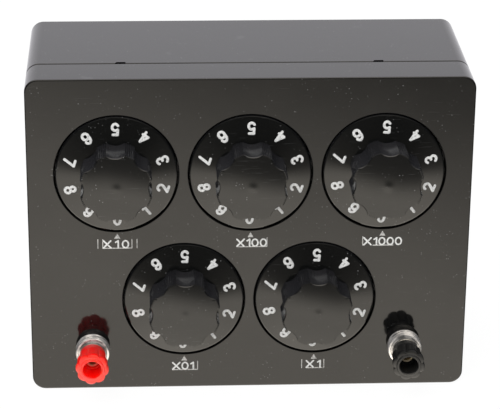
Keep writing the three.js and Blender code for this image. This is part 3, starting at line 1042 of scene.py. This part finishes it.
def make_pointer(name, material):
    x, z = middle("dial_" + name)
    bpy.ops.mesh.primitive_cylinder_add(vertices=3, radius=1, depth=1)
    obj = bpy.context.object
    corners = ((0, 0), (pointer_width / 2, -pointer_height), (-pointer_width / 2, -pointer_height))
    for vertex in obj.data.vertices:
        turn = math.atan2(vertex.co.x, vertex.co.y)
        corner = corners[round(turn / math.radians(120)) % 3]
        vertex.co = (*corner, math.copysign(label_thickness / 2, vertex.co.z))
    face_front(obj, x + pointer_shifts[name], z - pointer_drop)
    finished(obj, "pointer_" + name, "case", "print_white", material)


def make_label(name, material, worn_material):
    """A decade's multiplier in generic numerals, over the rule and bars that its stamp left."""
    x, z = middle("dial_" + name)
    text, shift, space, rule, bars = labels[name]
    widths = []
    for character in text:
        width = glyph_width(character, label_height, label_stroke) * label_stretch
        widths.append(width + label_stroke)
    left = shift - (sum(widths) + space * (len(text) - 1)) / 2
    low = -(label_height - label_stroke) / 2
    placed = []
    for character, width in zip(text, widths):
        mesh = glyph_mesh(character, label_height, label_stroke, label_thickness, label_stretch)
        placed.append((mesh, Matrix.Translation((left + label_stroke / 2, low, 0))))
        left += width + space
    obj = face_front(joined_copies("label_" + name, placed), x, z - label_drop)
    finished(obj, "label_" + name, "case", "print_white", material)

    bottom = label_drop - rule_drop
    strokes = [([(rule[0], bottom), (rule[1], bottom)], rule_stroke)]
    strokes += [([(bar, bottom), (bar, bottom + bar_height)], bar_stroke) for bar in bars]
    placed = []
    for points, stroke in strokes:
        body = stroke_solid(points, False, 1 + stroke, stroke, stamp_thickness)
        placed.append((taken_mesh(body), Matrix.Identity(4)))
    marks = face_front(joined_copies("stamp_" + name, placed), x, z - label_drop)
    finished(marks, "stamp_" + name, "case", "print_white", worn_material)


# Terminals

def cap_outline(angle):
    """The cap's radius at an angle: round lobes with narrow valleys."""
    wave = abs(math.cos(math.radians(cap_lobes / 2 * angle)))
    return cap_valley + (cap_crest - cap_valley) * wave ** lobe_fullness


def make_cap_mesh():
    """One cap along Z: round neck, lobed body and head, raised ring and plug mouth."""
    back = collar_length + fit_gap + washer_thickness + fit_gap
    shoulder = back + cap_neck_length
    mouth_back = cap_reach - cap_mouth_depth
    step = cap_reach - cap_ring_step
    lobed_rings = [
        (0.87, shoulder),
        (0.92, shoulder + cap_edge),
        (0.94, cap_reach - cap_head - cap_edge),
        (0.985, cap_reach - cap_head + cap_edge),
        (1, cap_reach - cap_head + 2 * cap_edge),
        (1, step - cap_edge),
        (0.985, step - 0.35 * cap_edge),
        (0.95, step),
    ]
    rings = [
        (stud_radius + fit_gap, back),
        (cap_neck - cap_neck_edge, back),
        (cap_neck, back + cap_neck_edge),
        (cap_neck, shoulder - cap_fillet),
        (cap_neck + 0.4 * cap_fillet, shoulder - 0.2 * cap_fillet),
        *((scaled(cap_outline, share), height) for share, height in lobed_rings),
        (cap_ring + cap_ring_slant, step),
        (cap_ring - cap_ring_round, cap_reach - 0.8 * cap_ring_round),
        (cap_ring - cap_ring_edge, cap_reach),
        (cap_mouth + cap_ring_edge, cap_reach),
        (cap_mouth, cap_reach - cap_mouth_edge),
        (cap_mouth, mouth_back),
        (stud_radius + fit_gap, mouth_back),
    ]
    return taken_mesh(smooth(turned("cap", rings, cap_sides, ring_shaped=True), 35))


def collar_outline():
    """The collar's section: beads along its side, a grooved front and a recess for the stud's flange."""
    pitch = collar_length / collar_beads
    rings = [(stud_radius + fit_gap, 0), (collar_radius - bead_depth, 0)]
    for i in range(collar_beads):
        rings += [(collar_radius - bead_depth * depth, (i + along) * pitch) for along, depth in bead_shape]
    groove = collar_length - groove_depth
    recess = collar_length - recess_depth
    return rings + [
        (collar_radius - bead_depth - collar_edge, collar_length),
        (collar_radius - collar_rim, collar_length),
        (collar_radius - groove_inset, groove),
        (washer_radius, groove),
        (washer_radius, collar_length),
        (recess_radius, collar_length),
        (recess_radius, recess),
        (stud_radius + fit_gap, recess),
    ]


def washer_outline():
    back = collar_length + fit_gap
    front = back + washer_thickness
    return [
        (stud_radius + fit_gap, back),
        (washer_radius - washer_edge, back),
        (washer_radius, back + washer_edge),
        (washer_radius, front - washer_edge),
        (washer_radius - washer_edge, front),
        (stud_radius + fit_gap, front),
    ]


def stud_outline():
    """The stud's section: plug socket with a countersunk rim, flange and tail."""
    front = cap_reach - cap_mouth_depth
    flange = collar_length - fit_gap / 2
    return [
        (socket_radius, front - socket_depth),
        (socket_radius, front - countersink_depth),
        (socket_radius + countersink_width, front),
        (stud_radius - stud_edge, front),
        (stud_radius, front - stud_edge),
        (stud_radius, flange),
        (flange_radius, flange),
        (flange_radius, flange - flange_thickness),
        (stud_radius, flange - flange_thickness),
        (stud_radius, fit_gap),
        (tail_radius, fit_gap),
        (tail_radius, -tail_length),
    ]


def make_terminals(cap_materials, collar_metal, washer_metal, stud_metal):
    cap_mesh = make_cap_mesh()
    for name in terminals:
        x, z = middle("terminal_stud_" + name)
        body = "cap_" + name
        cap = face_front(placed_copy("cap", cap_mesh), x, z, cap_turns[name])
        finished(cap, "screw_cap_" + name, body, body, cap_materials[name], "terminal_cap_" + name)
        collar = turned("collar", collar_outline(), collar_sides, ring_shaped=True)
        smooth(face_front(collar, x, z), 45)
        finished(collar, "collar_" + name, "case", "nickel", collar_metal, "terminal_collar_" + name)
        washer = turned("washer", washer_outline(), collar_sides, ring_shaped=True)
        smooth(face_front(washer, x, z))
        body = "washer_" + name
        finished(washer, body, body, "nickel", washer_metal, "pressure_washer_" + name)
        stud = smooth(face_front(turned("stud", stud_outline()), x, z))
        finished(stud, "stud_" + name, "case", "brass", stud_metal, "terminal_stud_" + name)


# Inner pieces keep their solids and get their finishes; the switch plate's dark grey is painted shade

def finish_inner_pieces(looks):
    for name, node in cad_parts.items():
        for start, material in looks.items():
            if name.startswith(start):
                node.data.materials.clear()
                node.data.materials.append(material)


# Stage

def make_world():
    """White to the camera and plain to matt surfaces. Gloss mirrors a pale bench, a dark room in
    front and a bright ceiling.
    """
    world = bpy.data.worlds.new("studio")
    bpy.context.scene.world = world
    world.use_nodes = True
    tree = world.node_tree
    tree.nodes.clear()
    output = tree.nodes.new("ShaderNodeOutputWorld")
    path = tree.nodes.new("ShaderNodeLightPath")
    direction = add_node(tree, "ShaderNodeSeparateXYZ", {"Vector": coordinate(tree, "Generated")}).outputs
    upward = maths(tree, "MULTIPLY_ADD", direction["Z"], 0.5, 0.5)
    brightest = 4.3
    front_levels = [
        (0.0, 4.2), (0.15, 4.2), (0.18, 3.5), (0.26, 2.9), (0.286, 3.0), (0.3, 2.7), (0.314, 2.05),
        (0.326, 1.35), (0.337, 0.8), (0.348, 0.5), (0.37, 0.35), (0.4, 0.28), (0.44, 0.14), (0.5, 0.08),
        (0.7, 0.08), (0.8, 1.0), (0.88, 2.0), (0.94, 3.4),
    ]
    back_levels = [
        (0.0, 0.05), (0.12, 0.08), (0.2, 0.12), (0.27, 0.4), (0.31, 0.65), (0.36, 0.95), (0.5, 1.1),
        (0.665, 1.17), (0.8, 1.2), (0.94, 3.4),
    ]
    slant = ranged(tree, direction["X"], -0.05, 0.17, -0.0107, 0.0128)
    colours = []
    for height, levels, tint in (
        (maths(tree, "ADD", upward, slant), front_levels, (1, 0.93, 0.82, 1)),
        (upward, back_levels, (0.97, 0.955, 1, 1)),
    ):
        stops = [(position, level / brightest) for position, level in levels]
        colours.append(mix_colour(tree, 1.0, ramp(tree, height, stops), tint, "MULTIPLY"))
    around = mix_colour(tree, ranged(tree, direction["Y"], -0.15, 0.25), *colours)
    faded = ranged(tree, direction["Z"], 0.1, 0.4, 0.1 * brightest, brightest)
    beside = ranged(tree, maths(tree, "ABSOLUTE", direction["X"]), 0.5, 0.75, brightest, faded)
    glossy = add_node(tree, "ShaderNodeBackground", {"Color": around, "Strength": beside})
    plain = add_node(tree, "ShaderNodeBackground", {"Color": grey(1), "Strength": 0.95})
    white = add_node(tree, "ShaderNodeBackground", {"Color": grey(1), "Strength": 1.0})
    shiny = maths(tree, "MAXIMUM", path.outputs["Is Glossy Ray"], path.outputs["Is Transmission Ray"])
    lit = add_node(tree, "ShaderNodeMixShader", {0: shiny, 1: plain.outputs[0], 2: glossy.outputs[0]})
    seen = add_node(
        tree, "ShaderNodeMixShader",
        {0: path.outputs["Is Camera Ray"], 1: lit.outputs[0], 2: white.outputs[0]},
    )
    tree.links.new(seen.outputs[0], output.inputs["Surface"])


def make_floor():
    """A pale floor that is white to the camera where no shadow falls."""
    bpy.ops.mesh.primitive_plane_add(size=floor_size, location=(0, 0, cover_low.z))
    floor = bpy.context.object
    floor.name = "floor"
    material = bpy.data.materials.new("floor")
    material.use_nodes = True
    tree = material.node_tree
    tree.nodes.clear()
    output = tree.nodes.new("ShaderNodeOutputMaterial")
    path = tree.nodes.new("ShaderNodeLightPath")
    pale = add_node(tree, "ShaderNodeBsdfDiffuse", {"Color": grey(0.9)})
    bright = add_node(tree, "ShaderNodeEmission", {"Color": grey(1), "Strength": 1.02})
    to_camera = add_node(tree, "ShaderNodeMixShader", {0: 0.93, 1: pale.outputs[0], 2: bright.outputs[0]})
    seen = add_node(
        tree, "ShaderNodeMixShader",
        {0: path.outputs["Is Camera Ray"], 1: pale.outputs[0], 2: to_camera.outputs[0]},
    )
    tree.links.new(seen.outputs[0], output.inputs["Surface"])
    floor.data.materials.append(material)
    floor.visible_glossy = False
    floor.visible_transmission = False


def make_lamp():
    """One large soft lamp above and in front."""
    bpy.ops.object.light_add(type="AREA", location=lamp_place)
    lamp = bpy.context.object
    lamp.name = "soft_lamp"
    lamp.data.shape = "RECTANGLE"
    lamp.data.size = lamp_width
    lamp.data.size_y = lamp_depth
    lamp.data.energy = lamp_energy
    aim = Vector(lamp_target) - lamp.location
    lamp.rotation_euler = aim.to_track_quat("-Z", "Y").to_euler()
    lamp.visible_glossy = False


def make_camera():
    azimuth, elevation = math.radians(camera_azimuth), math.radians(camera_elevation)
    back = Vector((
        math.sin(azimuth) * math.cos(elevation),
        -math.cos(azimuth) * math.cos(elevation),
        math.sin(elevation),
    ))
    right = Vector((0, 0, 1)).cross(back).normalized()
    up = back.cross(right)
    turn = Matrix((right, up, back)).transposed().to_4x4()
    roll = Matrix.Rotation(math.radians(camera_roll), 4, "Z")
    data = bpy.data.cameras.new("camera")
    data.lens = camera_lens
    data.sensor_width = camera_film
    camera = bpy.data.objects.new("camera", data)
    bpy.context.scene.collection.objects.link(camera)
    camera.matrix_world = Matrix.Translation(camera_target + back * camera_distance) @ turn @ roll
    bpy.context.scene.camera = camera


make_camera()
make_world()
make_floor()
make_lamp()
bpy.context.scene.view_settings.view_transform = "Standard"

case_plastic = plastic(
    "case_black", (0.0035, 0.0035, 0.0035), 0.05,
    dust=0.35, scratch=0.3, haze=0.08, gloss=0.35,
)
# The dial's side faces are painted a lighter grey than its faces: painted light on the grip's sides
dial_plastic = plastic(
    "dial_black", (0.0032, 0.0034, 0.0034), 0.05,
    dust=0.45, haze=0.06, bump=0.03, gloss=0.35, sides=(0.16, (0.016, 0.016, 0.018)),
)
cap_plastics = {
    # The red cap's side faces are painted a deeper red: painted shade on its sides
    "red": plastic(
        "cap_red", (1.0, 0.045, 0.03), 0.3,
        dust=0.0, scratch=0.1, glow=1.0, sides=(0.0, (1.0, 0.006, 0.004)),
    ),
    "black": plastic("cap_black", (0.008, 0.008, 0.008), 0.33, dust=0.4, scratch=0.3, gloss=0.4),
}
filled_white = paint("filled_white", (0.6, 0.6, 0.59), 0.6)
stamped_white = paint("stamped_white", (0.7, 0.7, 0.68), 0.62)
worn_white = paint("worn_white", (0.49, 0.48, 0.46), 0.3)
# Nickel painted much darker than nickel is: painted shade for the washer under the cap, shared with the nuts
# inside the case
shade_painted_nickel = turned_metal("shade_painted_nickel", (0.38, 0.37, 0.35), 0.28)
# The collar's nickel carries dark lines of painted shade along its turning marks
dull_nickel = turned_metal(
    "dull_nickel", (0.68, 0.66, 0.64), 0.3,
    line_scale=(160, 1500, 160), line_depth=0.5, metallic=0.6, painted_groove_shade=0.85,
)
brass = turned_metal("turned_brass", (1.0, 0.88, 0.66), 0.38)
steel = turned_metal("zinc_steel", (0.5, 0.5, 0.48), 0.3)
wire_sleeve = plastic("wire_sleeve", (0.02, 0.07, 0.25), 0.45)

make_front_cover(case_plastic)
make_rear_case(case_plastic)
make_screws(steel)
make_dials(dial_plastic, filled_white)
for decade in decades:
    make_pointer(decade, worn_white)
    make_label(decade, stamped_white, worn_white)
make_terminals(cap_plastics, dull_nickel, shade_painted_nickel, brass)
finish_inner_pieces({
    # The switch plate's aluminium is painted dark grey: painted shade inside the closed case, so that it
    # shows no bright reflection through the dial gaps
    "switch_plate": turned_metal("shade_painted_sheet", (0.25, 0.25, 0.26), 0.8),
    "switch_shaft": turned_metal("plain_sheet", (0.7, 0.71, 0.72), 0.4),
    "switch_housing": plastic("switch_moulding", (0.05, 0.04, 0.035), 0.5),
    "switch_nut": shade_painted_nickel,
    "contact_wafer": plastic("phenolic_board", (0.2, 0.07, 0.02), 0.45),
    "rotor_contact": brass,
    "resistor_chain": plastic("resistor_lacquer", (0.34, 0.2, 0.08), 0.4),
    "terminal_nut": shade_painted_nickel,
    "terminal_lead": wire_sleeve,
    "link_wire": wire_sleeve,
})
